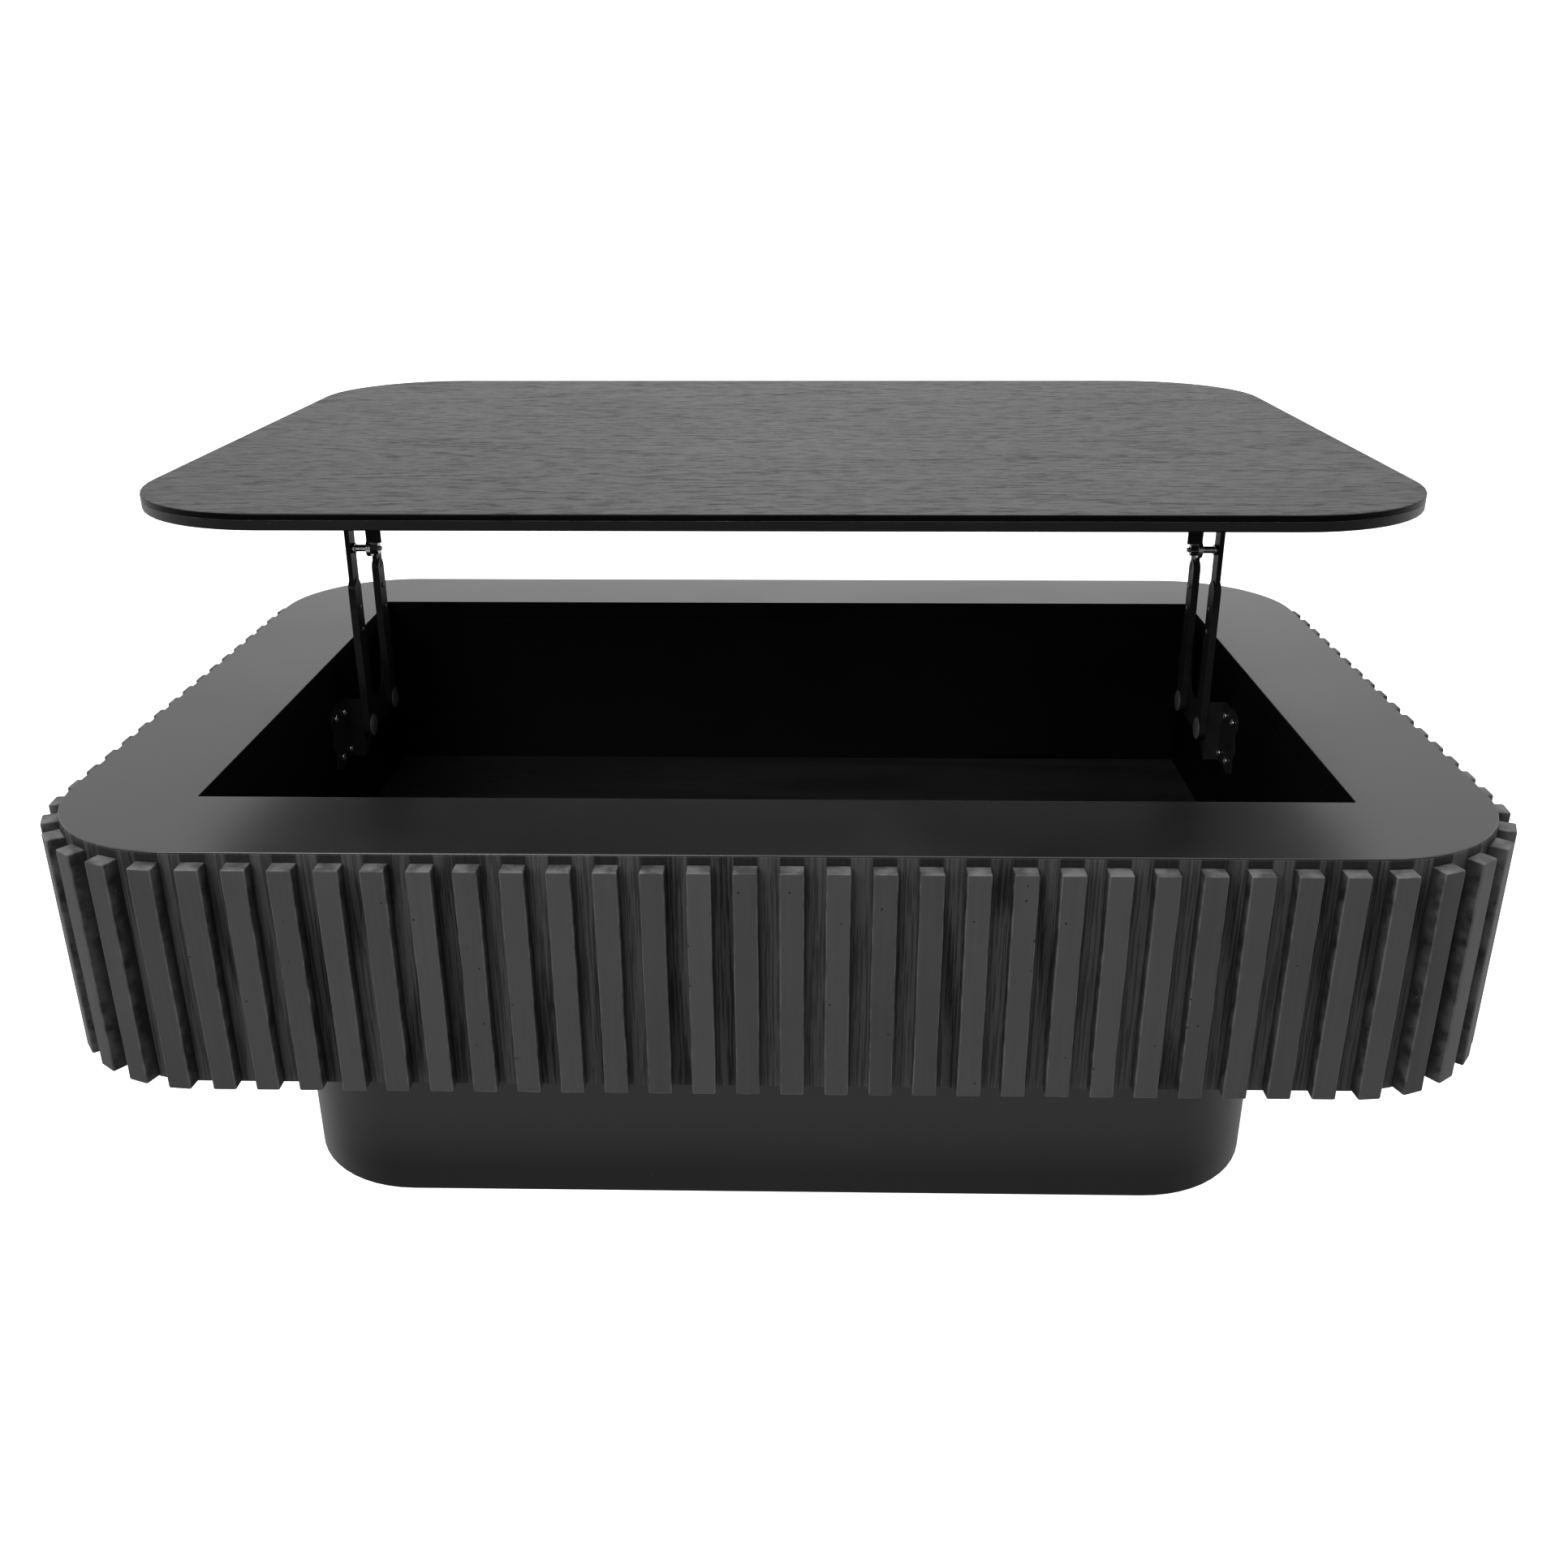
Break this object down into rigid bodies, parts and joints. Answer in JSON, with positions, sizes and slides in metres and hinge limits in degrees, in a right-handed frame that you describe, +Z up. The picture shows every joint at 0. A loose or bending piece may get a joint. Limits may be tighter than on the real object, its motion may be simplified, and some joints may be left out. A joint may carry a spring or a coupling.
{
  "type": "lift top coffee table",
  "caption": "Coffee table with a slatted drum, a storage well, a rounded plinth and a top that rises and slides back on two parallelogram lift mechanisms.",
  "frame": {"origin": "on the floor under the middle of the drum, at the underside of the centre glide", "axes": "+X along the table's length, +Z up, -Y towards the front, where the well is open when the top is raised"},
  "size_m": [1.2006, 1.0774, 0.6228],
  "materials": {
    "top_veneer": "satin black stain over open grain veneer",
    "deck_paint": "satin black lacquer",
    "slat_stain": "matt black stain, slats smooth, panels open grained",
    "plinth_paint": "satin black lacquer",
    "well_paint": "matt black paint",
    "raw_board": "unfinished board, hidden inside",
    "black_steel": "gloss black powder coat",
    "zinc_steel": "bright zinc plate",
    "glide_pad": "matt black"
  },
  "bodies": {
    "cabinet": {"deck_frame": "deck_paint", "slat_panel_front": "slat_stain", "slat_panel_back": "slat_stain", "slat_panel_left": "slat_stain", "slat_panel_right": "slat_stain", "slat_panel_front_left": "slat_stain", "slat_panel_front_right": "slat_stain", "slat_panel_back_left": "slat_stain", "slat_panel_back_right": "slat_stain", "well_floor": "well_paint", "well_wall_front": "well_paint", "well_wall_back": "well_paint", "well_wall_left": "well_paint", "well_wall_right": "well_paint", "deck_post_front_left": "raw_board", "deck_post_front_right": "raw_board", "deck_post_back_left": "raw_board", "deck_post_back_right": "raw_board", "plinth_shell": "plinth_paint", "plinth_top_board": "raw_board", "plinth_bottom_board": "raw_board", "glide_centre": "glide_pad", "glide_front_left": "glide_pad", "glide_front_right": "glide_pad", "glide_back_left": "glide_pad", "glide_back_right": "glide_pad", "left_mounting_plate": "black_steel", "left_plate_screw_1": "zinc_steel", "left_plate_screw_2": "zinc_steel", "left_plate_screw_3": "zinc_steel", "left_plate_screw_4": "zinc_steel", "left_front_lower_rivet": "black_steel", "left_rear_lower_rivet": "black_steel", "right_mounting_plate": "black_steel", "right_plate_screw_1": "zinc_steel", "right_plate_screw_2": "zinc_steel", "right_plate_screw_3": "zinc_steel", "right_plate_screw_4": "zinc_steel", "right_front_lower_rivet": "black_steel", "right_rear_lower_rivet": "black_steel"},
    "left_front_arm": {"left_front_arm": "black_steel", "left_cross_stud": "zinc_steel", "left_stud_nut": "black_steel"},
    "left_rear_arm": {"left_rear_arm": "black_steel"},
    "right_front_arm": {"right_front_arm": "black_steel", "right_cross_stud": "zinc_steel", "right_stud_nut": "black_steel"},
    "right_rear_arm": {"right_rear_arm": "black_steel"},
    "top": {"lift_top": "top_veneer", "left_top_rail": "black_steel", "left_rail_screw_1": "zinc_steel", "left_rail_screw_2": "zinc_steel", "left_front_upper_rivet": "black_steel", "left_rear_upper_rivet": "black_steel", "right_top_rail": "black_steel", "right_rail_screw_1": "zinc_steel", "right_rail_screw_2": "zinc_steel", "right_front_upper_rivet": "black_steel", "right_rear_upper_rivet": "black_steel"}
  },
  "joints": [
    {"name": "top_lift", "type": "hinge", "parent": "cabinet", "child": "left_front_arm", "pos_m": [-0.45, 0.1, 0.334], "axis": [1, 0, 0], "range_deg": [0, 77]},
    {"name": "left_rear_arm_swing", "type": "hinge", "parent": "cabinet", "child": "left_rear_arm", "pos_m": [-0.45, 0.188, 0.334], "axis": [1, 0, 0], "range_deg": [0, 77]},
    {"name": "right_front_arm_swing", "type": "hinge", "parent": "cabinet", "child": "right_front_arm", "pos_m": [0.45, 0.1, 0.334], "axis": [1, 0, 0], "range_deg": [0, 77]},
    {"name": "right_rear_arm_swing", "type": "hinge", "parent": "cabinet", "child": "right_rear_arm", "pos_m": [0.45, 0.188, 0.334], "axis": [1, 0, 0], "range_deg": [0, 77]},
    {"name": "top_level", "type": "hinge", "parent": "left_front_arm", "child": "top", "pos_m": [-0.45, 0.1089, 0.58884], "axis": [1, 0, 0], "range_deg": [-77, 0]}
  ],
  "couplings": [
    {"joint": "left_rear_arm_swing", "follows": "top_lift", "ratio": 1},
    {"joint": "right_front_arm_swing", "follows": "top_lift", "ratio": 1},
    {"joint": "right_rear_arm_swing", "follows": "top_lift", "ratio": 1},
    {"joint": "top_level", "follows": "top_lift", "ratio": -1}
  ]
}
